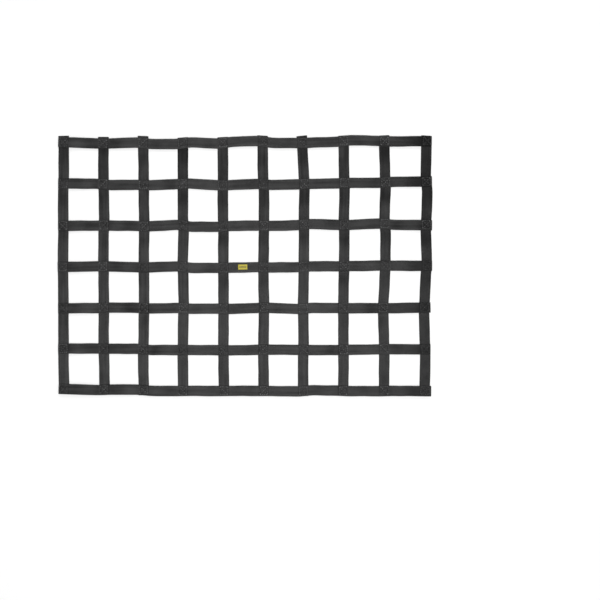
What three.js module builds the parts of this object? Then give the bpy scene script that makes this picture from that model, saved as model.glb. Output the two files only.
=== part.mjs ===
import * as THREE from 'three';

// A racing window net: upright straps under crosswise straps, sewn where they cross, ends turned in.
// Millimetres, Z up. The net lies face up with its underside on Z = 0.

// Webbing
const STRAP_WIDTH = 19.4;
const STRAP_THICKNESS = 1.5;
const LAYER_GAP = 0.3;
const LAYER = STRAP_THICKNESS + LAYER_GAP;

// Grid, and the step that puts the middle of the finished net over the origin
const COLUMN_PITCH = 75.7;
const ROW_PITCH = 77.7;
const CENTRING = { x: -0.8, y: -1.4 };

// Turned-in ends: the length folded back, and the bend that turns it
const TURN_IN = 15;
const FOLD_RADIUS = LAYER / 2;
const FOLD_REACH = FOLD_RADIUS + STRAP_THICKNESS / 2;
const FOLD_STEPS = 6;

// Slack between crossings: how far the middle of a free length stands off its level, least and most,
// and how far one edge rises over that. The turns spread both unevenly over the straps and cells.
const UPRIGHT_SLACK = { least: 0.3, most: 0.8 };
const CROSS_SLACK = { least: -0.8, most: 0.8 };
const SLACK_TURNS = { strap: 2.4, cell: 1.7 };
const EDGE_ROLL = 0.3;
const ROLL_TURNS = { strap: 1.3, cell: 2.9 };

// A strap lies flat over each crossing and a little past it, and is divided evenly between crossings
const FLAT_HALF = STRAP_WIDTH / 2 + 1.5;
const SPAN_STEPS = 6;
const SLOPE_STEP = 0.02;

// Label sewn on a crosswise strap, a little left of the middle of its cell and above the strap's middle
const LABEL_LENGTH = 19;
const LABEL_WIDTH = 11.5;
const LABEL_THICKNESS = 1;
const LABEL_SHIFT = -1;
const LABEL_RISE = 0.8;
const LABEL_ROW = 3;
const LABEL_CELL = 4;
const LABEL_STEPS = 6;

// A strap keeps its place within a cell and moves over to the next within this distance of the crossing
const SHIFT_REACH = 30;

// Upright straps from left to right. aside is how far right of its even place a strap lies in each cell,
// from the bottom up. topEnd is how far its fold shows past the top border strap, and skew its slant.
const UPRIGHTS = [
  { aside: [0.5, 0, -0.5, -0.5, -0.5, 0.5], topEnd: 3.7, skew: 0.5 },
  { aside: [1, 0, 0, -0.5, 0.5, -0.5], topEnd: 1.7, skew: 0 },
  { aside: [-1, -0.5, 0, 0, 0, -1], topEnd: 4.5, skew: -1 },
  { aside: [-2.5, -2, -1.5, -2, -2.5, -2.5], topEnd: 1.8, skew: 1.5 },
  { aside: [-1.5, -2, -2, -2, -3, -3], topEnd: 0.5, skew: 1 },
  { aside: [-2.5, -2, -2, -2, -1.5, -3.5], topEnd: 2.2, skew: -1.5 },
  { aside: [-3.5, -3, -3, -2, -1.5, -3.5], topEnd: 2.8, skew: 1 },
  { aside: [-3.5, -3.5, -3, -2, -2, -2.5], topEnd: 1.4, skew: 1 },
  { aside: [-2.5, -3.5, -2.5, 0, -1, -1.5], topEnd: 0.7, skew: 0.5 },
  { aside: [-1.5, -2.5, -1, 1, 2, 0.5], topEnd: 1.3, skew: -1 },
];

// Crosswise straps from the top down. aside is how far above its even place a strap lies in each cell,
// from the left. rightEnd is how far its fold shows past the right border strap.
const CROSSWISE = [
  { aside: [-1, -1, -3, -1, 2, -1, 0.5, 3.5, 2], rightEnd: 0.2 },
  { aside: [0.5, -2, -1.5, -1, -1, -1.5, 0.5, 2, 4], rightEnd: 0.6 },
  { aside: [-1, -1, -0.5, -3, -1, -0.5, 1.5, 2, 0.5], rightEnd: 0.3 },
  { aside: [0, -0.5, -0.5, -2.5, -1.5, -1.5, 0.5, 1.5, 1.5], rightEnd: 2.1 },
  { aside: [-0.5, 0.5, -0.5, -1.5, -1, -1, 0, -0.5, 0], rightEnd: 0.7 },
  { aside: [1.5, 1, -1.5, -1.5, -1.5, -1, -1.5, -0.5, 0], rightEnd: 1.1 },
  { aside: [2, 2, -0.5, -0.5, -0.5, -1, 0.5, -1, -0.5], rightEnd: 1.8 },
];

const LAST_COLUMN = UPRIGHTS.length - 1;
const LAST_ROW = CROSSWISE.length - 1;
const columnPlace = (i) => (i - LAST_COLUMN / 2) * COLUMN_PITCH + CENTRING.x;
const rowPlace = (j) => (LAST_ROW / 2 - j) * ROW_PITCH + CENTRING.y;

// How far aside a strap lies at a place along it. startOf gives where each cell after the first begins.
function asideAt(aside, startOf, along) {
  let place = aside[0];
  for (let cell = 1; cell < aside.length; cell += 1) {
    const start = startOf(cell);
    const share = THREE.MathUtils.smoothstep(along, start - SHIFT_REACH, start + SHIFT_REACH);
    place += (aside[cell] - aside[cell - 1]) * share;
  }
  return place;
}

function uprightX(i, y) {
  return columnPlace(i) + asideAt(UPRIGHTS[i].aside, (cell) => rowPlace(LAST_ROW - cell), y);
}

function crossY(j, x) {
  return rowPlace(j) + asideAt(CROSSWISE[j].aside, columnPlace, x);
}

// Where an upright and a crosswise strap meet
function crossing(i, j) {
  const y = crossY(j, columnPlace(i));
  const x = uprightX(i, y);
  return { x, y: crossY(j, x) };
}

const isBorder = (k, last) => k === 0 || k === last;

// A repeatable value from -1 to 1 for one cell of one strap
function spread(turns, strap, cell) {
  return Math.sin(strap * turns.strap + cell * turns.cell);
}

// How the free length in one cell stands off its level
function cellLie(range, strap, cell) {
  const middle = (range.least + range.most) / 2;
  const reach = (range.most - range.least) / 2;
  return {
    slack: middle + reach * spread(SLACK_TURNS, strap, cell),
    roll: EDGE_ROLL * spread(ROLL_TURNS, strap, cell),
  };
}

// One strap as a run along X or Y: how it lies, what it crosses at which layer, and how its ends turn.
// fold is 1 where the ends turn up over the strap and -1 where they turn under it.
function uprightRun(i) {
  const strap = UPRIGHTS[i];
  const crossings = [];
  for (let j = LAST_ROW; j >= 0; j -= 1) crossings.push({ at: crossing(i, j).y, layer: 0 });
  const cells = crossings.slice(1).map((_, cell) => cellLie(UPRIGHT_SLACK, i, cell));
  return {
    side: (y) => uprightX(i, y),
    toWorld: (along, side, z) => new THREE.Vector3(side, along, z),
    crossings,
    cells,
    fold: 1,
    lastEnd: strap.topEnd,
    lastSkew: strap.skew,
  };
}

function crossRun(j) {
  const crossings = [];
  for (let i = 0; i <= LAST_COLUMN; i += 1) {
    const layer = 1 + (isBorder(j, LAST_ROW) ? 1 : 0) + (isBorder(i, LAST_COLUMN) ? 1 : 0);
    crossings.push({ at: crossing(i, j).x, layer });
  }
  const cells = crossings.slice(1).map((_, cell) => cellLie(CROSS_SLACK, j + UPRIGHTS.length, cell));
  return {
    side: (x) => crossY(j, x),
    toWorld: (along, side, z) => new THREE.Vector3(along, side, z),
    crossings,
    cells,
    fold: -1,
    lastEnd: CROSSWISE[j].rightEnd,
    lastSkew: 0,
  };
}

const layerMiddle = (layer) => layer * LAYER + STRAP_THICKNESS / 2;

// Height of the strap's middle and its edge roll at a place along the run
function lie(run, along) {
  const { crossings, cells } = run;
  if (along <= crossings[0].at + FLAT_HALF) return { z: layerMiddle(crossings[0].layer), roll: 0 };
  for (let k = 0; k < cells.length; k += 1) {
    const from = crossings[k].at + FLAT_HALF;
    const to = crossings[k + 1].at - FLAT_HALF;
    const low = layerMiddle(crossings[k].layer);
    const high = layerMiddle(crossings[k + 1].layer);
    if (along < to) {
      const t = Math.max(0, (along - from) / (to - from));
      const bulge = Math.sin(Math.PI * t) ** 2;
      const level = low + (high - low) * THREE.MathUtils.smoothstep(t, 0, 1);
      return { z: level + cells[k].slack * bulge, roll: cells[k].roll * bulge };
    }
    if (along <= crossings[k + 1].at + FLAT_HALF) return { z: high, roll: 0 };
  }
  return { z: layerMiddle(crossings[crossings.length - 1].layer), roll: 0 };
}

// A station of the main run: place, height, and the direction of travel as run and rise
function mainStation(run, along) {
  const here = lie(run, along);
  const rise = lie(run, along + SLOPE_STEP / 2).z - lie(run, along - SLOPE_STEP / 2).z;
  const slope = rise / SLOPE_STEP;
  const length = Math.hypot(1, slope);
  return { along, z: here.z, run: 1 / length, rise: slope / length, roll: here.roll, skew: 0 };
}

// Stations of one turned-in end, from the main run outwards. sign is 1 for the last end, -1 for the first.
// Each travels from the first end of the strap to the last, as those of the main run do.
function foldStations(run, crossingAt, layer, sign, end, skew) {
  const bendAt = crossingAt + sign * (STRAP_WIDTH / 2 + end - FOLD_REACH);
  const base = layerMiddle(layer);
  const stations = [];
  for (let k = 0; k <= FOLD_STEPS; k += 1) {
    const angle = -Math.PI / 2 + (Math.PI * k) / FOLD_STEPS;
    stations.push({
      along: bendAt + sign * FOLD_RADIUS * Math.cos(angle),
      z: base + run.fold * FOLD_RADIUS * (1 + Math.sin(angle)),
      run: -Math.sin(angle),
      rise: sign * run.fold * Math.cos(angle),
      roll: 0,
      skew,
    });
  }
  const tailEnd = bendAt - sign * TURN_IN;
  stations.push({ along: tailEnd, z: base + run.fold * LAYER, run: -1, rise: 0, roll: 0, skew });
  return stations;
}

function runStations(run) {
  const { crossings } = run;
  const last = crossings.length - 1;
  const start = foldStations(run, crossings[0].at, crossings[0].layer, -1, 0, 0);
  const end = foldStations(run, crossings[last].at, crossings[last].layer, 1, run.lastEnd, run.lastSkew);
  const stations = start.reverse();
  for (let k = 0; k < last; k += 1) {
    const from = crossings[k].at + FLAT_HALF;
    const to = crossings[k + 1].at - FLAT_HALF;
    for (let n = 0; n <= SPAN_STEPS; n += 1) {
      stations.push(mainStation(run, from + ((to - from) * n) / SPAN_STEPS));
    }
  }
  return stations.concat(end);
}

// The frame of a station in the world: its middle, its width direction and its face normal
function stationFrame(run, station) {
  const { along } = station;
  const sway = run.side(along + SLOPE_STEP / 2) - run.side(along - SLOPE_STEP / 2);
  const bearing = run.toWorld(SLOPE_STEP, sway, 0).normalize();
  const up = new THREE.Vector3(0, 0, 1);
  const level = up.clone().cross(bearing);
  const travel = bearing.clone().multiplyScalar(station.run).addScaledVector(up, station.rise);
  const angle = Math.asin(station.roll / (STRAP_WIDTH / 2));
  const across = level.clone().applyAxisAngle(travel, angle);
  const normal = travel.clone().cross(across);
  return { middle: run.toWorld(along, run.side(along), station.z), across, normal, bearing };
}

// A closed solid through the stations. Its rectangular section is moved off the run by shift and raise.
function sweep(run, stations, { width, thickness, shift = 0, raise = 0 }) {
  const positions = [];
  const corners = [[1, -1], [1, 1], [-1, 1], [-1, -1]];
  for (const station of stations) {
    const { middle, across, normal, bearing } = stationFrame(run, station);
    for (const [side, face] of corners) {
      const point = middle.clone();
      point.addScaledVector(across, shift + (side * width) / 2);
      point.addScaledVector(normal, raise + (face * thickness) / 2);
      point.addScaledVector(bearing, (-side * station.skew) / 2);
      positions.push(point.x, point.y, point.z);
    }
  }
  const index = [];
  const count = corners.length;
  for (let s = 0; s + 1 < stations.length; s += 1) {
    for (let c = 0; c < count; c += 1) {
      const a = s * count + c;
      const b = s * count + ((c + 1) % count);
      index.push(a, b, b + count, a, b + count, a + count);
    }
  }
  const end = (stations.length - 1) * count;
  index.push(0, 2, 1, 0, 3, 2);
  index.push(end, end + 1, end + 2, end, end + 2, end + 3);
  const geometry = new THREE.BufferGeometry();
  geometry.setAttribute('position', new THREE.Float32BufferAttribute(positions, 3));
  geometry.setIndex(index);
  geometry.computeVertexNormals();
  return geometry;
}

function labelGeometry() {
  const run = crossRun(LABEL_ROW);
  const middle = (run.crossings[LABEL_CELL].at + run.crossings[LABEL_CELL + 1].at) / 2 + LABEL_SHIFT;
  const stations = [];
  for (let n = 0; n <= LABEL_STEPS; n += 1) {
    stations.push(mainStation(run, middle + LABEL_LENGTH * (n / LABEL_STEPS - 0.5)));
  }
  return sweep(run, stations, {
    width: LABEL_WIDTH,
    thickness: LABEL_THICKNESS,
    shift: LABEL_RISE,
    raise: (STRAP_THICKNESS + LABEL_THICKNESS) / 2 + LAYER_GAP,
  });
}

const webbing = new THREE.MeshStandardMaterial({ color: 0x39393a, roughness: 0.8, metalness: 0 });
const labelCloth = new THREE.MeshStandardMaterial({ color: 0xcdbf5a, roughness: 0.7, metalness: 0 });

const net = new THREE.Group();
net.name = 'racing_window_net';

function add(name, geometry, material) {
  const mesh = new THREE.Mesh(geometry, material);
  mesh.name = name;
  net.add(mesh);
}

const STRAP_SECTION = { width: STRAP_WIDTH, thickness: STRAP_THICKNESS };
for (let i = 0; i <= LAST_COLUMN; i += 1) {
  const run = uprightRun(i);
  add(`upright_${i + 1}`, sweep(run, runStations(run), STRAP_SECTION), webbing);
}
for (let j = 0; j <= LAST_ROW; j += 1) {
  const run = crossRun(j);
  add(`cross_${j + 1}`, sweep(run, runStations(run), STRAP_SECTION), webbing);
}
add('label', labelGeometry(), labelCloth);

export default net;
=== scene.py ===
import math
from collections import namedtuple

import bpy
import numpy as np
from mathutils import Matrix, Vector


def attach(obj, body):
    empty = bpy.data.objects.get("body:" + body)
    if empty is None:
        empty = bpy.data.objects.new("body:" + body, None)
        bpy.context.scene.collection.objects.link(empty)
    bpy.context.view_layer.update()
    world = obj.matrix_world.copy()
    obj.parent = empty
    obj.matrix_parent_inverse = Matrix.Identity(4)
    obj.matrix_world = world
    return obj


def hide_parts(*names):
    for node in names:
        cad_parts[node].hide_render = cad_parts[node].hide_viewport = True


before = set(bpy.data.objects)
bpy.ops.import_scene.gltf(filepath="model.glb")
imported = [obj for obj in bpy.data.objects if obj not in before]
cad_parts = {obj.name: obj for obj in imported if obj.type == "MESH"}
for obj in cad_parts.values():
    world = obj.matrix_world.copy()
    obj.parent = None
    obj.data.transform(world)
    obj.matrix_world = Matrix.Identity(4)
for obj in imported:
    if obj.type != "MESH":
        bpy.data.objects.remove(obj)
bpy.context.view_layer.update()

# A racing window net of flat webbing, laid out face up. Sizes are in millimetres until a mesh is made.
MM = 0.001
RNG = np.random.default_rng(27)

# Webbing, and the air between two layers of it
STRAP_WIDTH = 19.4
STRAP_THICKNESS = 1.5
LAYER_GAP = 0.3
LAYER = STRAP_THICKNESS + LAYER_GAP

# The soft webbing lies a little wider than its nominal width, the uprights more than the crosswise straps
UPRIGHT_WIDENING = 1.03
CROSS_WIDENING = 1.01

# Grid, and the step that puts the middle of the net over the origin
COLUMN_PITCH = 75.7
ROW_PITCH = 77.7
CENTRING_X = -0.8
CENTRING_Y = -1.4

# Turned-in ends
TURN_IN = 15.0
FOLD_RADIUS = LAYER / 2
FOLD_REACH = FOLD_RADIUS + STRAP_THICKNESS / 2

# Slack between crossings, as (least, most), and the roll of the edges there. The turns spread both over the
# straps and their cells.
UPRIGHT_SLACK = (0.3, 0.8)
CROSS_SLACK = (-0.8, 0.8)
SLACK_TURNS = (2.4, 1.7)
EDGE_ROLL = 0.3
ROLL_TURNS = (1.3, 2.9)

# Half the length of a strap that lies flat at a crossing
FLAT_MARGIN = 1.5
FLAT_HALF = STRAP_WIDTH / 2 + FLAT_MARGIN

# Small unevenness along the straps, as waves: size, length of a radian, and multiple of the strap's phase
Wave = namedtuple("Wave", "size radian phase")
CUP_WAVES = [Wave(0.28, 23, 1), Wave(0.2, 11, 2.3)]
WANDER_WAVES = [Wave(0.22, 17, 1.9), Wave(0.12, 7.3, 3.1)]
WIDTH_WAVES = [Wave(0.012, 13, 0.7)]
PHASE_STEP = 1.7

# Fineness of the strap meshes
FLAT_STEPS = 24
SPAN_STEPS = 22
FOLD_STEPS = 14
TAIL_STEPS = 6
SLOPE_STEP = 0.02

# A strap lies along a line of its own in each cell and goes over to the next line within this distance of
# the crossing
SHIFT_REACH = 18.0

# Upright straps from left to right: how far right of its even place the middle of each lies in its cells
# from the bottom up, how far it leans to the right over each, how far its fold shows past the top border
# strap, the slant of that fold, and how light it is at the bottom and at the top: some dye difference
# between straps, and painted shade that makes the net darker towards its right border and top right corner
# and single ends lighter or darker.
Upright = namedtuple("Upright", "aside lean top_end skew shade top_shade")
UPRIGHTS = [
    Upright((0.5, 0, -0.5, -0.5, -0.5, 0.5), (-1.5, -0.5, -1, 1, 0, 0), 2.9, 0.5, 1.08, 0.9),
    Upright((1, 0, 0, -0.5, 0.5, -0.5), (-1.5, 0.5, -0.5, 0.5, -1.5, 0), 3.4, 0, 1.0, 0.8),
    Upright((-1, -0.5, 0, 0, 0, -1), (-1.5, 1, -0.5, 1, -1, -1), 4.1, -1, 1.06, 1.2),
    Upright((-2.5, -2, -1.5, -2, -2.5, -2.5), (-1, 1, -1.5, 2.5, 0, 0), 1.6, 1.5, 1.04, 0.4),
    Upright((-1.5, -2, -2, -2, -3, -3), (-1, 0.5, -0.5, 0.5, -0.5, -0.5), 2.2, 1, 0.88, 1.0),
    Upright((-2.5, -2, -2, -2, -1.5, -3.5), (-1, 1, -1.5, 1, 0, -1), 1.8, -1.5, 0.8, 1.1),
    Upright((-3.5, -3, -3, -2, -1.5, -3.5), (0, -1, 1.5, 0.5, 1.5, -4), 4.4, 1, 0.88, 0.74),
    Upright((-3.5, -3.5, -3, -2, -2, -2.5), (0.5, 0, 1.5, 0.5, 2, -1), 1.0, 1, 0.66, 0.96),
    Upright((-2.5, -3.5, -2.5, 0, -1, -1.5), (0.5, -2, 4, 0.5, 3, -2), 1.8, 0.5, 0.62, 0.5),
    Upright((-1.5, -2.5, -1, 1, 2, 0.5), (1.5, -2, 3.5, -2.5, 2.5, 1.5), 1.3, -1, 0.24, 0.62),
]

# Crosswise straps from the top down: how far above its even place the middle of each lies in its cells from
# the left, how far it leans upwards over each, how far its fold shows past the right border strap, and how
# light it is at the left and at the right: some dye difference between straps, and painted shade that makes
# them a little lighter than the uprights, the right ends of the top straps dark and the others darker
# towards the right border.
Crosswise = namedtuple("Crosswise", "aside lean right_end shade right_shade")
CROSSWISE = [
    Crosswise((-1, -1, -3, -1, 2, -1, 0.5, 3.5, 2),
              (-2.5, 2.5, 0, -3.5, 2.5, -0.5, 2.5, -2, 0.5), -0.6, 1.08, 0.0),
    Crosswise((0.5, -2, -1.5, -1, -1, -1.5, 0.5, 2, 4),
              (-0.5, 1, 3, -4.5, 3, 2, 1.5, 0, 0.5), 0.8, 1.07, 0.1),
    Crosswise((-1, -1, -0.5, -3, -1, -0.5, 1.5, 2, 0.5),
              (0.5, -1, 4, 0, 1, 2, -2.5, 3.5, -1), 1.7, 1.07, 0.6),
    Crosswise((0, -0.5, -0.5, -2.5, -1.5, -1.5, 0.5, 1.5, 1.5),
              (1.5, -2, 2.5, 0, 1.5, 1, 0, 1.5, -0.5), 0.5, 1.1, 0.5),
    Crosswise((-0.5, 0.5, -0.5, -1.5, -1, -1, 0, -0.5, 0),
              (0.5, -0.5, 1.5, 0.5, 2.5, -3, -0.5, 0.5, 1.5), 2.2, 1.12, 0.4),
    Crosswise((1.5, 1, -1.5, -1.5, -1.5, -1, -1.5, -0.5, 0),
              (0, 0, 0, -0.5, 1.5, -0.5, 0, 1, -0.5), 0.2, 1.08, 0.5),
    Crosswise((2, 2, -0.5, -0.5, -0.5, -1, 0.5, -1, -0.5),
              (-2.5, 0, -0.5, -0.5, 0, -1, -1, 0, -0.5), 2.4, 1.1, 0.6),
]

# The dye and painted shade go over to those of the far end within this distance of it
DYE_AND_SHADE_REACH = 85.0

LAST_COLUMN = len(UPRIGHTS) - 1
LAST_ROW = len(CROSSWISE) - 1

# Right half of the webbing's section, from the middle to the edge, as (place across, height of the face).
# A shallow groove parts the rounded selvage from the flat middle.
TOP_PROFILE = [
    (0.0, 0.75), (0.95, 0.75), (1.9, 0.75), (2.85, 0.75), (3.8, 0.75), (4.75, 0.75), (5.7, 0.75),
    (6.5, 0.74), (7.1, 0.70), (7.7, 0.63), (8.3, 0.69), (8.85, 0.72), (9.25, 0.64), (9.55, 0.42),
]
UNDER_PROFILE = [
    (0.0, -0.75), (2.1, -0.75), (4.2, -0.75), (6.3, -0.75), (7.7, -0.66), (8.85, -0.71), (9.5, -0.45),
]

# Sewing at each crossing: a square with its two diagonals, drawn into the cloth. Ranges are (least, most).
SEAM_SQUARE = 15.0
SEAM_OFF_X = (-0.6, 0.6)
SEAM_OFF_Y = (0.0, 1.2)
SEAM_TURN = (-0.05, 0.05)
SEAM_TONE = (-0.05, 0.8)
SEAM_PRESS = (0.0, 0.5)
SEAM_SINK = 0.38
SEAM_SPREAD = 0.8
SEAM_REACH = 16.0
PRESS_FADE = 2.0

# Stitches: their places on the seam's lines, and how their tones and places vary
STITCH_PITCH = 3.9
STITCH_SHARE = 0.64
THREAD_RADIUS = 0.34
FACE_STITCH_LIFT = 0.14
BACK_STITCH_LIFT = 0.04
LINE_TONE_SPREAD = 0.3
STITCH_TONE_SPREAD = 0.35
DIAGONAL_TONE = -0.1
# How far the thread darkens with the strap's painted shade and dye
THREAD_SHADE_SHARE = 0.6
STITCH_SHAKE = 0.08
STITCH_SWAY = 0.06

# Label: its size, and its place on the strap that carries it
LABEL_LENGTH = 19.0
LABEL_WIDTH = 11.5
LABEL_SHIFT = -1.0
LABEL_RISE = 0.8
LABEL_ROW = 3
LABEL_CELL = 4

# The label's faces: how high they are at its edge, how much they swell within the curve from there, and how
# far the line where it is sewn on presses the upper one down
LABEL_UPPER_EDGE = 0.5
LABEL_UPPER_SWELL = 0.65
LABEL_UNDER_EDGE = 0.1
LABEL_UNDER_SWELL = 0.2
LABEL_CURVE = 2.4
LABEL_SEAM = 1.1
LABEL_SEAM_SINK = 0.24
LABEL_SEAM_SPREAD = 0.45
LABEL_STATIONS = 49
LABEL_LANES = 31

# The label's stitches and print
LABEL_STITCH_PITCH = 2.0
LABEL_THREAD_RADIUS = 0.2
LABEL_STITCH_LIFT = 0.02
LABEL_BORDER = 0.8
LABEL_CHECK = 1.2
CHECK_COLUMNS = 11
CHECK_ROWS = 3

# Each strap is cut from its own stretch of a long length of webbing, this far from that of the strap before
LOT_STEP = 1000.0

# Map for baking: the strips that a strap is cut into, the margin of each, and where the two end faces go
MAP_STRIPS = 4
MAP_MARGIN = 0.015
MAP_END_PLACES = (0.1, 0.6)
MAP_END_SPAN = 0.3

# The photograph's frame: its pixels, their size on the net, and where it has the middle of the grid
FRAME_PIXELS = 600
PIXEL_MM = 1.881
GRID_PIXEL = (244.65, 266.65)
LENS = 85.0
SENSOR = 36.0

# Floor and light, in metres and watts
FLOOR_SIZE = 40
WORLD_STRENGTH = 0.4
Lamp = namedtuple("Lamp", "name place size watts")
LAMPS = [
    Lamp("key", (0.25, -0.27, 3.0), 0.6, 70),
    Lamp("fill", (0.0, 1.7, 1.4), 1.0, 5),
]


# The lie of the straps

def column_place(i):
    return (i - LAST_COLUMN / 2) * COLUMN_PITCH + CENTRING_X


def row_place(j):
    return (LAST_ROW / 2 - j) * ROW_PITCH + CENTRING_Y


def smooth(t):
    return t * t * (3 - 2 * t)


def aside_at(strap, along, start, pitch):
    """How far aside a strap lies at places along it, where its first cell begins at start."""
    place = 0
    for cell, (aside, lean) in enumerate(zip(strap.aside, strap.lean)):
        past = along - start - cell * pitch
        line = aside + lean * (past / pitch - 0.5)
        share = np.clip((past + SHIFT_REACH) / (2 * SHIFT_REACH), 0, 1) if cell else 1
        place = place + (line - place) * smooth(share)
    return place


def upright_x(i, y):
    return column_place(i) + aside_at(UPRIGHTS[i], y, row_place(LAST_ROW), ROW_PITCH)


def cross_y(j, x):
    return row_place(j) + aside_at(CROSSWISE[j], x, column_place(0), COLUMN_PITCH)


def crossing(i, j):
    """Where an upright and a crosswise strap meet."""
    y = cross_y(j, column_place(i))
    x = upright_x(i, y)
    return x, cross_y(j, x)


def is_border(k, last):
    return k in (0, last)


def cross_layer(i, j):
    """How many layers lie under a crosswise strap at a crossing."""
    return 1 + is_border(j, LAST_ROW) + is_border(i, LAST_COLUMN)


def spread(turns, strap, cell):
    """A repeatable value from -1 to 1 for one cell of one strap."""
    return math.sin(strap * turns[0] + cell * turns[1])


def cell_lie(slack_range, strap, cell):
    """Slack and edge roll of the free length in one cell."""
    least, most = slack_range
    slack = (least + most) / 2 + (most - least) / 2 * spread(SLACK_TURNS, strap, cell)
    return slack, EDGE_ROLL * spread(ROLL_TURNS, strap, cell)


def layer_middle(layer):
    return layer * LAYER + STRAP_THICKNESS / 2


class Run:
    """One strap as a run along X or Y: how it lies, what it crosses at which layer, how its ends turn."""

    def __init__(self, number, side, upright, crossings, slack_range, fold, ends, skew, dye_and_shade):
        self.number = number
        self.side = side
        self.upright = upright
        self.widening = UPRIGHT_WIDENING if upright else CROSS_WIDENING
        self.crossings = crossings
        self.cells = [cell_lie(slack_range, number, cell) for cell in range(len(crossings) - 1)]
        self.fold = fold
        self.ends = ends
        self.skew = skew
        self.dye_and_shade = dye_and_shade

    def to_world(self, along, side, z):
        """World points, as rows, from places along the run, sideways and up."""
        pair = (side, along) if self.upright else (along, side)
        return np.stack([*pair, z], axis=-1)

    def lie(self, along):
        """Height of the middle, edge roll and share of freedom at places along the main run."""
        z = np.full_like(along, layer_middle(self.crossings[0][1]))
        roll = np.zeros_like(along)
        free = np.zeros_like(along)
        pairs = zip(self.crossings, self.crossings[1:])
        for ((at, layer), (next_at, next_layer)), (slack, edge) in zip(pairs, self.cells):
            start = at + FLAT_HALF
            end = next_at - FLAT_HALF
            t = np.clip((along - start) / (end - start), 0, 1)
            bulge = np.sin(math.pi * t) ** 2
            low = layer_middle(layer)
            high = layer_middle(next_layer)
            here = along > start
            z = np.where(here, low + (high - low) * smooth(t) + slack * bulge, z)
            roll = np.where(here, edge * bulge, roll)
            free = np.where(here, bulge, free)
        return z, roll, free

    def shade(self, along):
        """How light the webbing is at places along the run, from its dye and painted shade."""
        near, far = self.dye_and_shade
        last_at = self.crossings[-1][0]
        return near + (far - near) * smooth(np.clip((along - last_at + DYE_AND_SHADE_REACH) / DYE_AND_SHADE_REACH, 0, 1))


def upright_run(i):
    strap = UPRIGHTS[i]
    crossings = [(crossing(i, j)[1], 0) for j in range(LAST_ROW, -1, -1)]
    ends = (0, strap.top_end)
    dye_and_shade = (strap.shade, strap.top_shade)
    return Run(i, lambda y: upright_x(i, y), True, crossings, UPRIGHT_SLACK, 1, ends, strap.skew, dye_and_shade)


def cross_run(j):
    crossings = [(crossing(i, j)[0], cross_layer(i, j)) for i in range(LAST_COLUMN + 1)]
    strap = CROSSWISE[j]
    ends = (0, strap.right_end)
    dye_and_shade = (strap.shade, strap.right_shade)
    number = j + len(UPRIGHTS)
    return Run(number, lambda x: cross_y(j, x), False, crossings, CROSS_SLACK, -1, ends, 0, dye_and_shade)


# Stations along a strap

def bend_place(run, last):
    """Where the bend of the first or last end begins."""
    at = run.crossings[-1 if last else 0][0]
    reach = STRAP_WIDTH / 2 + run.ends[last] - FOLD_REACH
    return at + reach if last else at - reach


def main_places(run):
    """Places along the main run: close over the crossings, wider between them."""
    places = []
    for k, (at, _) in enumerate(run.crossings):
        start = bend_place(run, False) if k == 0 else at - FLAT_HALF
        last = k == len(run.crossings) - 1
        end = bend_place(run, True) if last else at + FLAT_HALF
        places.append(np.linspace(start, end, FLAT_STEPS + 1)[:-1])
        if not last:
            next_start = run.crossings[k + 1][0] - FLAT_HALF
            places.append(np.linspace(end, next_start, SPAN_STEPS + 1)[:-1])
    places.append([bend_place(run, True)])
    return np.concatenate(places)


# Columns of a strap's stations: place along, height, the two parts of the direction of travel, roll and skew
# of the section, share of freedom, 1 on the main run and 0 on the ends, and length so far
Stations = namedtuple("Stations", "along z run rise roll skew free main length")


def main_stations(run, along):
    """Stations of the main run, without their length."""
    z, roll, free = run.lie(along)
    rise = run.lie(along + SLOPE_STEP / 2)[0] - run.lie(along - SLOPE_STEP / 2)[0]
    slope = rise / SLOPE_STEP
    length = np.hypot(1, slope)
    last_at = run.crossings[-1][0]
    bend = bend_place(run, True)
    skew = run.skew * np.clip((along - last_at + FLAT_HALF) / (bend - last_at + FLAT_HALF), 0, 1)
    return np.stack([along, z, 1 / length, slope / length, roll, skew, free, np.ones_like(along)], axis=1)


def fold_stations(run, last):
    """Stations of one turned-in end, outwards from the main run, whose last station isn't repeated."""
    sign = 1 if last else -1
    bend = bend_place(run, last)
    layer = run.crossings[-1 if last else 0][1]
    base = layer_middle(layer)
    skew = run.skew if last else 0
    rows = []
    for k in range(1, FOLD_STEPS + 1):
        angle = -math.pi / 2 + math.pi * k / FOLD_STEPS
        place = bend + sign * FOLD_RADIUS * math.cos(angle)
        z = base + run.fold * FOLD_RADIUS * (1 + math.sin(angle))
        rows.append((place, z, -math.sin(angle), sign * run.fold * math.cos(angle), 0, skew, 0, 0))
    for k in range(1, TAIL_STEPS + 1):
        place = bend - sign * TURN_IN * k / TAIL_STEPS
        rows.append((place, base + run.fold * LAYER, -1, 0, 0, skew, 0, 0))
    return np.array(rows)


def strap_stations(run):
    """All stations of a strap, with the length of the strap up to each."""
    rows = np.concatenate([
        fold_stations(run, False)[::-1],
        main_stations(run, main_places(run)),
        fold_stations(run, True),
    ])
    middle = run.to_world(rows[:, 0], run.side(rows[:, 0]), rows[:, 1])
    steps = np.linalg.norm(np.diff(middle, axis=0), axis=1)
    length = np.concatenate([[0], np.cumsum(steps)])
    return Stations(*rows.T, length)


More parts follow.
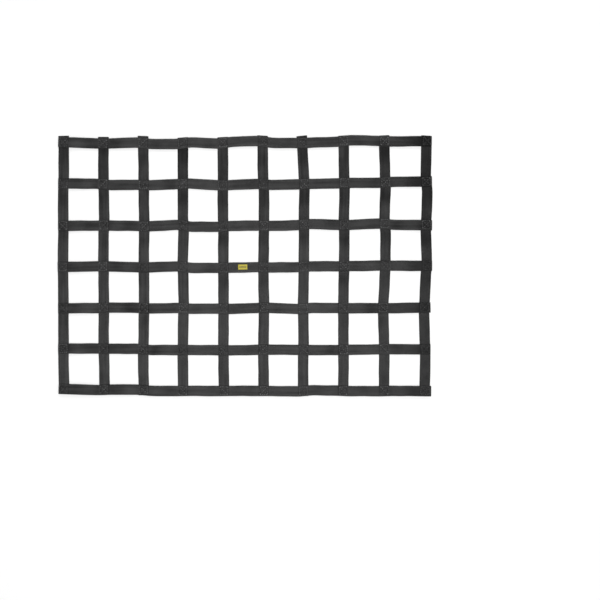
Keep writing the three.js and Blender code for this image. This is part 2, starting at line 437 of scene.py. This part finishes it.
def station_frames(run, stations):
    """Middle, width direction, face normal and level bearing of each station, as rows."""
    half = SLOPE_STEP / 2
    sway = run.side(stations.along + half) - run.side(stations.along - half)
    bearing = run.to_world(np.full_like(sway, SLOPE_STEP), sway, np.zeros_like(sway))
    bearing /= np.linalg.norm(bearing, axis=1, keepdims=True)
    up = np.array([0.0, 0.0, 1.0])
    level = np.cross(up, bearing)
    travel = bearing * stations.run[:, None] + up * stations.rise[:, None]
    sine = (stations.roll / (STRAP_WIDTH / 2))[:, None]
    across = level * np.sqrt(1 - sine ** 2) + np.cross(travel, level) * sine
    normal = np.cross(travel, across)
    middle = run.to_world(stations.along, run.side(stations.along), stations.z)
    return middle, across, normal, bearing


# Sewing

SQUARE_CORNERS = [(-1, -1), (1, -1), (1, 1), (-1, 1)]
SQUARE_SIDES = [(0, 1), (1, 2), (2, 3), (3, 0)]
SQUARE_LINES = SQUARE_SIDES + [(0, 2), (1, 3)]
Seam = namedtuple("Seam", "x y turn tone press")


def make_seams():
    """Each crossing's sewn square: a little off the middle and turned, with its own tone and press.
    The thread is darker where the strap's dye and painted shade are darker, so it takes the painted shade
    too."""
    runs = [cross_run(j) for j in range(LAST_ROW + 1)]
    seams = {}
    for i in range(LAST_COLUMN + 1):
        for j, run in enumerate(runs):
            x, y = crossing(i, j)
            off_x = RNG.uniform(*SEAM_OFF_X)
            off_y = RNG.uniform(*SEAM_OFF_Y)
            turn = RNG.uniform(*SEAM_TURN)
            # the thread darkens with the strap's painted shade and dye
            tone = RNG.uniform(*SEAM_TONE) - THREAD_SHADE_SHARE * (1 - float(run.shade(np.array(x))))
            press = RNG.uniform(*SEAM_PRESS)
            seams[i, j] = Seam(x + off_x, y + off_y, turn, tone, press)
    return seams


SEAMS = make_seams()


def seam_lines(seam):
    """The seam's six lines as pairs of points."""
    cosine = math.cos(seam.turn)
    sine = math.sin(seam.turn)
    half = SEAM_SQUARE / 2
    corners = []
    for a, b in SQUARE_CORNERS:
        x = seam.x + half * (a * cosine - b * sine)
        y = seam.y + half * (a * sine + b * cosine)
        corners.append(np.array([x, y]))
    return [(corners[a], corners[b]) for a, b in SQUARE_LINES]


def seam_press(seam, points):
    """How strongly the cloth inside the seam's square is pressed at plan points, from 0 to 1."""
    x, y = (points - np.array([seam.x, seam.y])).T
    cosine = math.cos(seam.turn)
    sine = math.sin(seam.turn)
    reach = np.maximum(np.abs(x * cosine + y * sine), np.abs(y * cosine - x * sine)).T
    return seam.press * smooth(np.clip((SEAM_SQUARE / 2 - reach) / PRESS_FADE + 0.5, 0, 1))


def seam_pull(seam, points):
    """How strongly the seam draws the cloth in at plan points, from 0 to 1."""
    pull = np.zeros(points.shape[:-1])
    for start, end in seam_lines(seam):
        line = end - start
        share = np.clip(((points - start) @ line) / (line @ line), 0, 1)
        gap = np.linalg.norm(points - start - share[..., None] * line, axis=-1)
        pull = np.maximum(pull, np.exp(-(gap / SEAM_SPREAD) ** 2))
    return pull


def run_seams(run):
    if run.upright:
        return [SEAMS[run.number, j] for j in range(LAST_ROW, -1, -1)]
    return [SEAMS[i, run.number - len(UPRIGHTS)] for i in range(LAST_COLUMN + 1)]


# Meshes

def new_object(name, points, face_groups, material):
    """A smooth-shaded object from points in millimetres and groups of faces, each with one corner count."""
    totals = np.concatenate([np.full(len(group), group.shape[1]) for group in face_groups])
    corners = np.concatenate([group.ravel() for group in face_groups])
    starts = np.concatenate([[0], np.cumsum(totals)[:-1]])
    mesh = bpy.data.meshes.new(name)
    mesh.vertices.add(len(points))
    mesh.vertices.foreach_set("co", (points * MM).astype(np.float32).ravel())
    mesh.loops.add(len(corners))
    mesh.loops.foreach_set("vertex_index", corners.astype(np.int32))
    mesh.polygons.add(len(totals))
    mesh.polygons.foreach_set("loop_start", starts.astype(np.int32))
    mesh.polygons.foreach_set("loop_total", totals.astype(np.int32))
    mesh.polygons.foreach_set("use_smooth", np.ones(len(totals), dtype=bool))
    mesh.update(calc_edges=True)
    mesh.validate()
    mesh.materials.append(material)
    obj = bpy.data.objects.new(name, mesh)
    bpy.context.scene.collection.objects.link(obj)
    return obj


def set_attribute(obj, name, values):
    layer = obj.data.attributes.new(name, "FLOAT", "POINT")
    layer.data.foreach_set("value", np.asarray(values, dtype=np.float32).ravel())


def tube_faces(rows, count):
    """Quads over rows of closed rings, and the two end faces."""
    lane = np.arange(count)
    first = np.arange(rows - 1)[:, None] * count + lane
    second = np.arange(rows - 1)[:, None] * count + (lane + 1) % count
    quads = np.stack([first, first + count, second + count, second], axis=-1).reshape(-1, 4)
    ends = np.stack([lane, rows * count - 1 - lane])
    return [quads, ends]


# Straps

def section_ring():
    """The webbing's closed section: places across, heights, and whether each is on the upper face."""
    top = [(-w, h) for w, h in TOP_PROFILE[:0:-1]] + TOP_PROFILE
    under = UNDER_PROFILE[::-1] + [(-w, h) for w, h in UNDER_PROFILE[1:]]
    edge = STRAP_WIDTH / 2
    ring = [(-edge, 0.0)] + top + [(edge, 0.0)] + under
    across, height = np.array(ring).T
    return across, height, height > 0


RING_ACROSS, RING_HEIGHT, RING_TOP = section_ring()


def cup_height(cup, across):
    """Height that a cupped section adds at a place across it."""
    return cup * ((across / (STRAP_WIDTH / 2)) ** 2 - 1 / 3)


def wave_sum(waves, run, along):
    phase = run.number * PHASE_STEP
    return sum(wave.size * np.sin(along / wave.radian + wave.phase * phase) for wave in waves)


def uneven(run, along, free):
    """Small unevenness of a strap: cupping of its section, sideways wander and share of its width."""
    cup = wave_sum(CUP_WAVES, run, along)
    wander = wave_sum(WANDER_WAVES, run, along)
    width = run.widening + wave_sum(WIDTH_WAVES, run, along)
    return cup * free, wander * free, width


def strap_seams(run, stations, points):
    """How strongly the strap's seams draw in and press the face that shows, at its points."""
    pull = np.zeros(points.shape[:-1])
    press = np.zeros(points.shape[:-1])
    for (at, _), seam in zip(run.crossings, run_seams(run)):
        near = (np.abs(stations.along - at) < SEAM_REACH) & (stations.main > 0)
        plan = points[near][..., :2]
        pull[near] = seam_pull(seam, plan)
        press[near] = seam_press(seam, plan)
    shows = ~RING_TOP if run.upright else RING_TOP
    return pull * shows, press * shows


def strip_map(obj, length):
    """The map for baking: the strap cut into strips laid side by side, each with its whole girth.
    The two end faces lie in the margin beside the last strip."""
    rows = len(length)
    count = len(RING_ACROSS)
    ring = np.stack([RING_ACROSS, RING_HEIGHT])
    steps = np.linalg.norm(np.roll(ring, -1, axis=1) - ring, axis=0)
    girth = np.concatenate([[0], np.cumsum(steps)]) / steps.sum()
    strip = np.minimum((length[:-1] / length[-1] * MAP_STRIPS).astype(int), MAP_STRIPS - 1)
    start = np.array([length[:-1][strip == k][0] for k in range(MAP_STRIPS)])
    end = np.append(start[1:], length[-1])
    longest = (end - start).max()
    row, lane = np.meshgrid(np.arange(rows - 1), np.arange(count), indexing="ij")
    u = (length[row[..., None] + np.array([0, 1, 1, 0])] - start[strip][:, None, None]) / longest
    v = girth[lane[..., None] + np.array([0, 0, 1, 1])]
    u = MAP_MARGIN + (1 - 2 * MAP_MARGIN) * u
    v = (strip[:, None, None] + MAP_MARGIN + (1 - 4 * MAP_MARGIN) * v) / MAP_STRIPS
    sides = np.stack([u, v], axis=-1).reshape(-1, 2)
    end_u = 0.5 + RING_ACROSS / STRAP_WIDTH
    end_v = 1 - MAP_MARGIN / 2 + MAP_MARGIN / 4 * RING_HEIGHT / STRAP_THICKNESS
    first, last = (np.stack([place + MAP_END_SPAN * end_u, end_v], axis=-1) for place in MAP_END_PLACES)
    layer = obj.data.uv_layers.new(name="OFBake")
    layer.data.foreach_set("uv", np.concatenate([sides, first, last[::-1]]).astype(np.float32).ravel())


def make_strap(name, run, material):
    """The strap's object, and its flat width and length in metres."""
    stations = strap_stations(run)
    middle, across, normal, bearing = station_frames(run, stations)
    cup, wander, width = uneven(run, stations.along, stations.free)
    place = RING_ACROSS * width[:, None] + wander[:, None]
    points = middle[:, None, :] + across[:, None, :] * place[..., None]
    pull, press = strap_seams(run, stations, points)
    height = RING_HEIGHT + cup_height(cup[:, None], RING_ACROSS)
    height = height + SEAM_SINK * pull * (1 if run.upright else -1)
    points = points + normal[:, None, :] * height[..., None]
    slant = RING_ACROSS / STRAP_WIDTH * stations.skew[:, None]
    points = points - bearing[:, None, :] * slant[..., None]
    points[..., 2] = np.maximum(points[..., 2], 0)
    rows, count = height.shape
    obj = new_object(name, points.reshape(-1, 3), tube_faces(rows, count), material)
    set_attribute(obj, "along", np.repeat(stations.length + run.number * LOT_STEP, count) * MM)
    set_attribute(obj, "across", np.tile(RING_ACROSS, rows) * MM)
    # darkens the webbing: painted shade in the stitch grooves, and the pressed cloth inside the square
    set_attribute(obj, "seam", np.maximum(pull, press))
    # lightness along each strap: dye, and painted shade towards the right border and the top right corner
    set_attribute(obj, "shade", np.repeat(run.shade(stations.along), count))
    strip_map(obj, stations.length)
    return obj, (STRAP_WIDTH * run.widening * MM, stations.length[-1] * MM)


# Label

def label_run():
    """The strap that carries the label, and the place along it of the label's middle."""
    run = cross_run(LABEL_ROW)
    return run, (run.crossings[LABEL_CELL][0] + run.crossings[LABEL_CELL + 1][0]) / 2 + LABEL_SHIFT


def label_faces(edge):
    """Heights of the label's upper and under faces above the strap, at distances from its nearest edge."""
    swell = smooth(np.clip(edge / LABEL_CURVE, 0, 1))
    sink = LABEL_SEAM_SINK * np.exp(-((edge - LABEL_SEAM) / LABEL_SEAM_SPREAD) ** 2)
    upper = LABEL_UPPER_EDGE + LABEL_UPPER_SWELL * swell - sink
    return upper, LABEL_UNDER_EDGE + LABEL_UNDER_SWELL * swell


def on_label(along, across):
    """Middle of the strap's face under places on the label, with its frame there."""
    run, at = label_run()
    stations = Stations(*main_stations(run, at + along).T, along)
    middle, level, normal, _ = station_frames(run, stations)
    cup, _, _ = uneven(run, stations.along, stations.free)
    side = across + LABEL_RISE
    face = STRAP_THICKNESS / 2 + cup_height(cup, side)
    return middle + level * side[:, None] + normal * face[:, None], normal


def make_label_mesh(material):
    """The label's object: a closed cloth that follows the strap's face."""
    along = np.linspace(-LABEL_LENGTH / 2, LABEL_LENGTH / 2, LABEL_STATIONS)
    lanes = np.linspace(-LABEL_WIDTH / 2, LABEL_WIDTH / 2, LABEL_LANES)
    ring = np.concatenate([lanes, lanes[::-1]])
    upper_side = np.arange(len(ring)) < len(lanes)
    place, side = np.meshgrid(along, ring, indexing="ij")
    edge = np.minimum(LABEL_LENGTH / 2 - np.abs(place), LABEL_WIDTH / 2 - np.abs(side))
    upper, under = label_faces(edge)
    base, normal = on_label(place.ravel(), side.ravel())
    points = base + normal * np.where(upper_side, upper, under).reshape(-1, 1)
    label = new_object("woven_label", points, tube_faces(len(along), len(ring)), material)
    set_attribute(label, "along", place * MM)
    set_attribute(label, "across", side * MM)
    return label


# Stitches

# Rings along a stitch, as (share of its length, share of the thread's radius, rise in radii)
STITCH_RINGS = [(-0.5, 0.5, -0.7), (-0.3, 0.95, 0.0), (0.0, 1.0, 0.25), (0.3, 0.95, 0.0), (0.5, 0.5, -0.7)]
STITCH_SIDES = 5
Stitches = namedtuple("Stitches", "middle heading length radius tone")


def line_stitches(start, end, pitch):
    """Plan middles, headings and lengths of the stitches along a line."""
    line = end - start
    count = max(1, round(float(np.linalg.norm(line)) / pitch))
    shares = (np.arange(count) + 0.5) / count
    heading = np.full(count, math.atan2(line[1], line[0]))
    length = np.full(count, STITCH_SHARE * np.linalg.norm(line) / count)
    return start + shares[:, None] * line, heading, length


def seam_stitches(facing):
    """The stitches of every crossing, on the face with facing 1 and on the underside with facing -1."""
    found = []
    for (i, j), seam in SEAMS.items():
        top = cross_layer(i, j) * LAYER + STRAP_THICKNESS - SEAM_SINK + FACE_STITCH_LIFT
        z = top if facing > 0 else SEAM_SINK + BACK_STITCH_LIFT
        for line, (start, end) in enumerate(seam_lines(seam)):
            plan, heading, length = line_stitches(start, end, STITCH_PITCH)
            count = len(plan)
            middle = np.column_stack([plan, np.full(count, z)])
            line_tone = seam.tone + (DIAGONAL_TONE if line >= len(SQUARE_SIDES) else 0)
            tone = np.full(count, line_tone + RNG.normal(0, LINE_TONE_SPREAD))
            found.append((middle, heading, length, np.full(count, THREAD_RADIUS), tone))
    return found


def label_stitches():
    """The stitches round the label."""
    half_length = LABEL_LENGTH / 2 - LABEL_SEAM
    half_width = LABEL_WIDTH / 2 - LABEL_SEAM
    corners = [np.array([a * half_length, b * half_width]) for a, b in SQUARE_CORNERS]
    lift = label_faces(np.array(LABEL_SEAM))[0] + LABEL_STITCH_LIFT
    found = []
    for a, b in SQUARE_SIDES:
        places, heading, length = line_stitches(corners[a], corners[b], LABEL_STITCH_PITCH)
        base, normal = on_label(places[:, 0], places[:, 1])
        count = len(places)
        radius = np.full(count, LABEL_THREAD_RADIUS)
        found.append((base + normal * lift, heading, length, radius, np.zeros(count)))
    return found


def make_stitches(name, found, facing, material):
    """One object of raised stitches, each a short rod that arches up from its two holes."""
    stitches = Stitches(*(np.concatenate(parts) for parts in zip(*found)))
    total = len(stitches.heading)
    shake = RNG.normal(0, STITCH_SHAKE, (total, 2))
    heading = stitches.heading + RNG.normal(0, STITCH_SWAY, total)
    tone = np.clip(stitches.tone + RNG.normal(0, STITCH_TONE_SPREAD, total), 0, 1)
    turn = 2 * math.pi * np.arange(STITCH_SIDES) / STITCH_SIDES
    ring_along, ring_radius, ring_arch = (np.repeat(column, STITCH_SIDES) for column in zip(*STITCH_RINGS))
    side = np.tile(np.cos(turn), len(STITCH_RINGS)) * ring_radius * facing
    lift = (np.tile(np.sin(turn), len(STITCH_RINGS)) * ring_radius + ring_arch) * facing
    forward = np.stack([np.cos(heading), np.sin(heading)], axis=1)
    left = np.stack([-forward[:, 1], forward[:, 0]], axis=1)
    radius = stitches.radius[:, None]
    plan = (stitches.middle[:, :2] + shake)[:, None, :]
    plan = plan + forward[:, None, :] * (stitches.length[:, None] * ring_along)[..., None]
    plan = plan + left[:, None, :] * (radius * side)[..., None]
    z = stitches.middle[:, 2:] + radius * lift
    points = np.concatenate([plan, z[..., None]], axis=-1)
    count = points.shape[1]
    shift = (np.arange(total) * count)[:, None, None]
    one = tube_faces(len(STITCH_RINGS), STITCH_SIDES)
    groups = [(group + shift).reshape(-1, group.shape[1]) for group in one]
    obj = new_object(name, points.reshape(-1, 3), groups, material)
    set_attribute(obj, "tone", np.repeat(tone, count))
    return obj


# Materials

def node(tree, kind, **settings):
    made = tree.nodes.new(kind)
    for key, value in settings.items():
        setattr(made, key, value)
    return made


def math_node(tree, operation, first, second=None):
    made = node(tree, "ShaderNodeMath", operation=operation)
    for socket, value in zip(made.inputs, (first, second)):
        if value is None:
            continue
        if isinstance(value, (int, float)):
            socket.default_value = value
        else:
            tree.links.new(value, socket)
    return made.outputs[0]


def attribute(tree, name):
    return node(tree, "ShaderNodeAttribute", attribute_name=name).outputs["Fac"]


def new_material(name):
    material = bpy.data.materials.new(name)
    material.use_nodes = True
    return material, material.node_tree, material.node_tree.nodes["Principled BSDF"]


def colour_ramp(tree, factor, stops):
    ramp = node(tree, "ShaderNodeValToRGB")
    elements = ramp.color_ramp.elements
    while len(elements) < len(stops):
        elements.new(0.5)
    for element, (place, colour) in zip(elements, stops):
        element.position = place
        element.color = (*colour, 1)
    tree.links.new(factor, ramp.inputs["Fac"])
    return ramp.outputs["Color"]


def noise_at(tree, place, scale, detail):
    made = node(tree, "ShaderNodeTexNoise")
    made.inputs["Scale"].default_value = scale
    made.inputs["Detail"].default_value = detail
    tree.links.new(place, made.inputs["Vector"])
    return made.outputs["Fac"]


def noise(tree, scale, detail):
    """Noise in the object's own space."""
    return noise_at(tree, node(tree, "ShaderNodeTexCoord").outputs["Object"], scale, detail)


def streaks(tree, across_scale, along_scale, detail):
    """Noise drawn out along a strap, from its own places across and along."""
    place = node(tree, "ShaderNodeCombineXYZ")
    tree.links.new(math_node(tree, "MULTIPLY", attribute(tree, "across"), across_scale), place.inputs["X"])
    tree.links.new(math_node(tree, "MULTIPLY", attribute(tree, "along"), along_scale), place.inputs["Y"])
    return noise_at(tree, place.outputs["Vector"], 1, detail)


def bump(tree, height, distance, strength):
    made = node(tree, "ShaderNodeBump")
    made.inputs["Distance"].default_value = distance
    made.inputs["Strength"].default_value = strength
    tree.links.new(height, made.inputs["Height"])
    return made.outputs["Normal"]


def map_range(tree, value, low, high, to_low, to_high):
    made = node(tree, "ShaderNodeMapRange")
    settings = {"From Min": low, "From Max": high, "To Min": to_low, "To Max": to_high}
    for key, setting in settings.items():
        made.inputs[key].default_value = setting
    tree.links.new(value, made.inputs["Value"])
    return made.outputs["Result"]


# The range that noise mostly keeps to
NOISE_RANGE = (0.3, 0.7)


def vary(tree, value, low, high):
    """A noise's range turned into another."""
    return map_range(tree, value, *NOISE_RANGE, low, high)


def multiply(tree, *values):
    product = values[0]
    for value in values[1:]:
        product = math_node(tree, "MULTIPLY", product, value)
    return product


def off_middle(tree, count):
    """How far a running count is from the middle of its step: 0 there and 1 at both ends."""
    doubled = math_node(tree, "MULTIPLY", math_node(tree, "FRACT", count), 2)
    return math_node(tree, "ABSOLUTE", math_node(tree, "SUBTRACT", doubled, 1))


def rounded(tree, distance, power):
    """A rounded crown that is 1 at distance 0 and falls to 0 at distance 1."""
    return math_node(tree, "SUBTRACT", 1, math_node(tree, "POWER", distance, power))


# Weaves: width of a yarn and length of its floats, and the yarns after which the herringbone turns back
Weave = namedtuple("Weave", "yarn float_length turn_back")
WEBBING_WEAVE = Weave(0.95, 3.2, 5)
LABEL_WEAVE = Weave(0.4, 0.8, 1)

# In all weaves: the share of its length that a float lies past its neighbour, how flat the yarns' crowns and
# floats are, the height of a float's ends, and a step that keeps all places across above zero
FLOAT_STEP = 0.25
YARN_FLATNESS = 2.5
FLOAT_FLATNESS = 3
FLOAT_END = 0.65
WEAVE_SHIFT = 20.0


def weave(tree, kind):
    """A herringbone weave, as its height and as how far up on a float of yarn each place is, from 0 to 1."""
    shifted = math_node(tree, "ADD", attribute(tree, "across"), WEAVE_SHIFT * MM)
    lane = math_node(tree, "DIVIDE", shifted, kind.yarn * MM)
    crown = rounded(tree, off_middle(tree, lane), YARN_FLATNESS)
    turned = math_node(tree, "PINGPONG", math_node(tree, "FLOOR", lane), kind.turn_back)
    travel = math_node(tree, "DIVIDE", attribute(tree, "along"), kind.float_length * MM)
    travel = math_node(tree, "ADD", travel, math_node(tree, "MULTIPLY", turned, FLOAT_STEP))
    swell = rounded(tree, off_middle(tree, travel), FLOAT_FLATNESS)
    height = multiply(tree, crown, map_range(tree, swell, 0, 1, FLOAT_END, 1))
    return height, multiply(tree, crown, swell)


def grey_ramp(tree, factor, stops):
    return colour_ramp(tree, factor, [(place, (grey, grey, grey)) for place, grey in stops])


# Shade of the webbing from its middle to its edge, as (share of the half width, half the shade):
# a paler band inside the groove of the selvage, painted shade in the groove, and a lighter edge that is
# partly wear and partly a painted highlight on the rounded selvage
SELVAGE_SHADES = [(0.48, 0.5), (0.57, 0.53), (0.66, 0.53), (0.77, 0.48), (0.86, 0.52), (0.95, 0.6)]

# What else makes the webbing darker or lighter, each as (shade at its low end, shade at its high end)
FLOAT_SHADES = (0.42, 1.48)
PATCH_SHADES = (0.62, 1.38)
STREAK_SHADES = (0.4, 1.6)
FIBRE_SHADES = (0.88, 1.12)
# Seam: painted shade in the stitch grooves, and darker pressed cloth inside the square
SEAM_SHADES = (1, 0.6)

# The webbing's finish, with the fineness of its noises per metre, their detail, and the depth of its relief
# in millimetres
WEBBING_DARK = (0.001, 0.001, 0.001)
WEBBING_LIGHT = (0.037, 0.037, 0.0373)
WEBBING_ROUGHNESS = (0.28, 0.35)
WEBBING_SPECULAR = 0.105
WEBBING_SHEEN = 0.05
WEBBING_SHEEN_ROUGHNESS = 0.45
PATCH_SCALE = 26
PATCH_DETAIL = 3
STREAK_SCALE_ACROSS = 190
STREAK_SCALE_ALONG = 9
STREAK_DETAIL = 4
FIBRE_SCALE = 900
FIBRE_DETAIL = 2
FIBRE_RELIEF = 0.2
WEBBING_RELIEF = 0.12


def webbing_material():
    material, tree, shader = new_material("charcoal_webbing")
    height, floats = weave(tree, WEBBING_WEAVE)
    patches = noise(tree, PATCH_SCALE, PATCH_DETAIL)
    fibres = noise(tree, FIBRE_SCALE, FIBRE_DETAIL)
    lengthwise = streaks(tree, STREAK_SCALE_ACROSS, STREAK_SCALE_ALONG, STREAK_DETAIL)
    off_centre = math_node(tree, "ABSOLUTE", attribute(tree, "across"))
    # painted shade in the selvage groove, and a painted highlight on the rounded edge
    selvage = grey_ramp(tree, math_node(tree, "DIVIDE", off_centre, STRAP_WIDTH / 2 * MM), SELVAGE_SHADES)
    shade = multiply(
        tree,
        map_range(tree, floats, 0, 1, *FLOAT_SHADES),
        vary(tree, patches, *PATCH_SHADES),
        vary(tree, lengthwise, *STREAK_SHADES),
        vary(tree, fibres, *FIBRE_SHADES),
        # painted shade in the stitch grooves, and the pressed square
        map_range(tree, attribute(tree, "seam"), 0, 1, *SEAM_SHADES),
        # dye and painted shade along each strap
        attribute(tree, "shade"),
        selvage,
    )
    colour = colour_ramp(tree, shade, [(0.0, WEBBING_DARK), (1.0, WEBBING_LIGHT)])
    tree.links.new(colour, shader.inputs["Base Color"])
    tree.links.new(vary(tree, patches, *WEBBING_ROUGHNESS), shader.inputs["Roughness"])
    relief = math_node(tree, "ADD", height, math_node(tree, "MULTIPLY", fibres, FIBRE_RELIEF))
    tree.links.new(bump(tree, relief, WEBBING_RELIEF * MM, 1.0), shader.inputs["Normal"])
    shader.inputs["Specular IOR Level"].default_value = WEBBING_SPECULAR
    shader.inputs["Sheen Weight"].default_value = WEBBING_SHEEN
    shader.inputs["Sheen Roughness"].default_value = WEBBING_SHEEN_ROUGHNESS
    return material


# The thread's finish
THREAD_DARK = (0.022, 0.022, 0.023)
THREAD_LIGHT = (0.17, 0.17, 0.173)
THREAD_ROUGHNESS = (0.4, 0.55)
PLY_SCALE = 1500
PLY_DETAIL = 2
PLY_TONES = (-0.15, 0.15)
PLY_RELIEF = 0.1
PLY_STRENGTH = 0.5


def thread_material():
    material, tree, shader = new_material("bonded_thread")
    plies = noise(tree, PLY_SCALE, PLY_DETAIL)
    light = math_node(tree, "ADD", attribute(tree, "tone"), vary(tree, plies, *PLY_TONES))
    colour = colour_ramp(tree, light, [(0.0, THREAD_DARK), (1.0, THREAD_LIGHT)])
    tree.links.new(colour, shader.inputs["Base Color"])
    tree.links.new(vary(tree, plies, *THREAD_ROUGHNESS), shader.inputs["Roughness"])
    tree.links.new(bump(tree, plies, PLY_RELIEF * MM, PLY_STRENGTH), shader.inputs["Normal"])
    return material


def inside(tree, value, middle, half):
    """1 where a value is within half of a middle, else 0."""
    distance = math_node(tree, "ABSOLUTE", math_node(tree, "SUBTRACT", value, middle))
    return math_node(tree, "LESS_THAN", distance, half)


def every_other(tree, value, start, step):
    """1 on every other step of a value, counted from a start, else 0."""
    count = math_node(tree, "DIVIDE", math_node(tree, "SUBTRACT", value, start), 2 * step)
    return math_node(tree, "LESS_THAN", math_node(tree, "FRACT", count), 0.5)


def label_print(tree):
    """The label's plain dark print: a border, and a chequered band along the middle."""
    along = attribute(tree, "along")
    across = attribute(tree, "across")
    field = multiply(
        tree,
        inside(tree, along, 0, (LABEL_LENGTH / 2 - LABEL_BORDER) * MM),
        inside(tree, across, 0, (LABEL_WIDTH / 2 - LABEL_BORDER) * MM),
    )
    square = LABEL_CHECK * MM
    half_along = CHECK_COLUMNS * square / 2
    half_across = CHECK_ROWS * square / 2
    columns = every_other(tree, along, -half_along, square)
    rows = every_other(tree, across, -half_across, square)
    chequer = math_node(tree, "ABSOLUTE", math_node(tree, "SUBTRACT", columns, rows))
    band = multiply(tree, chequer, inside(tree, along, 0, half_along), inside(tree, across, 0, half_across))
    return math_node(tree, "MAXIMUM", band, math_node(tree, "SUBTRACT", 1, field))


# The label's finish, with its colours between the floats of its weave and on top of them
YELLOW_STOPS = [(0.0, (0.25, 0.2, 0.02)), (0.8, (0.56, 0.48, 0.06))]
PRINT_STOPS = [(0.0, (0.012, 0.012, 0.011)), (0.8, (0.032, 0.031, 0.028))]
LABEL_ROUGHNESS = 0.6
LABEL_SPECULAR = 0.3
LABEL_RELIEF = 0.1
LABEL_RELIEF_STRENGTH = 0.4


def label_material():
    material, tree, shader = new_material("yellow_label")
    height, floats = weave(tree, LABEL_WEAVE)
    yellow = colour_ramp(tree, floats, YELLOW_STOPS)
    dark = colour_ramp(tree, floats, PRINT_STOPS)
    mix = node(tree, "ShaderNodeMix", data_type="RGBA")
    tree.links.new(label_print(tree), mix.inputs["Factor"])
    tree.links.new(yellow, mix.inputs["A"])
    tree.links.new(dark, mix.inputs["B"])
    tree.links.new(mix.outputs["Result"], shader.inputs["Base Color"])
    tree.links.new(bump(tree, height, LABEL_RELIEF * MM, LABEL_RELIEF_STRENGTH), shader.inputs["Normal"])
    shader.inputs["Roughness"].default_value = LABEL_ROUGHNESS
    shader.inputs["Specular IOR Level"].default_value = LABEL_SPECULAR
    return material


# The floor's finish
FLOOR_GREYS = [(0.3, 0.88), (0.7, 0.9)]
FLOOR_NOISE_SCALE = 3
FLOOR_NOISE_DETAIL = 2
FLOOR_ROUGHNESS = 0.8


def floor_material():
    material, tree, shader = new_material("pale_floor")
    colour = grey_ramp(tree, noise(tree, FLOOR_NOISE_SCALE, FLOOR_NOISE_DETAIL), FLOOR_GREYS)
    tree.links.new(colour, shader.inputs["Base Color"])
    shader.inputs["Roughness"].default_value = FLOOR_ROUGHNESS
    return material


# Pieces

WEBBING = webbing_material()
THREAD = thread_material()
LABEL = label_material()


def add_piece(obj):
    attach(obj, "root")


def make_straps():
    """Makes all the straps and returns the crosswise ones."""
    crosswise = []
    for i in range(LAST_COLUMN + 1):
        strap, flat = make_strap(f"upright_webbing_{i + 1}", upright_run(i), WEBBING)
        add_piece(strap)
        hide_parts(f"upright_{i + 1}")
    for j in range(LAST_ROW + 1):
        strap, flat = make_strap(f"cross_webbing_{j + 1}", cross_run(j), WEBBING)
        add_piece(strap)
        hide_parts(f"cross_{j + 1}")
        crosswise.append(strap)
    return crosswise


def make_label():
    label = make_label_mesh(LABEL)
    add_piece(label)
    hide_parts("label")


crosswise_straps = make_straps()
make_label()
add_piece(make_stitches("face_stitches", seam_stitches(1) + label_stitches(), 1, THREAD))
add_piece(make_stitches("back_stitches", seam_stitches(-1), -1, THREAD))


# Floor, light and camera

def make_floor():
    bpy.ops.mesh.primitive_plane_add(size=FLOOR_SIZE)
    floor = bpy.context.object
    floor.name = "floor"
    floor.data.materials.append(floor_material())


def make_light(lamp):
    """An area light turned towards the middle of the net."""
    light = bpy.data.lights.new(lamp.name, "AREA")
    light.size = lamp.size
    light.energy = lamp.watts
    holder = bpy.data.objects.new(lamp.name, light)
    bpy.context.scene.collection.objects.link(holder)
    holder.location = lamp.place
    holder.rotation_euler = (-Vector(lamp.place)).to_track_quat("-Z", "Y").to_euler()


def make_world():
    world = bpy.data.worlds.new("studio")
    bpy.context.scene.world = world
    world.use_nodes = True
    background = world.node_tree.nodes["Background"]
    background.inputs["Color"].default_value = (1, 1, 1, 1)
    background.inputs["Strength"].default_value = WORLD_STRENGTH


def make_camera():
    """A camera straight above the net, so far up that the photograph's frame comes out."""
    camera = bpy.data.cameras.new("camera")
    camera.lens = LENS
    camera.sensor_width = SENSOR
    holder = bpy.data.objects.new("camera", camera)
    bpy.context.scene.collection.objects.link(holder)
    middle = FRAME_PIXELS / 2
    x = CENTRING_X + (middle - GRID_PIXEL[0]) * PIXEL_MM
    y = CENTRING_Y - (middle - GRID_PIXEL[1]) * PIXEL_MM
    distance = FRAME_PIXELS * PIXEL_MM * LENS / SENSOR
    holder.location = (x * MM, y * MM, distance * MM)
    bpy.context.scene.camera = holder


make_floor()
make_world()
for lamp in LAMPS:
    make_light(lamp)
make_camera()
bpy.context.scene.view_settings.view_transform = "Standard"
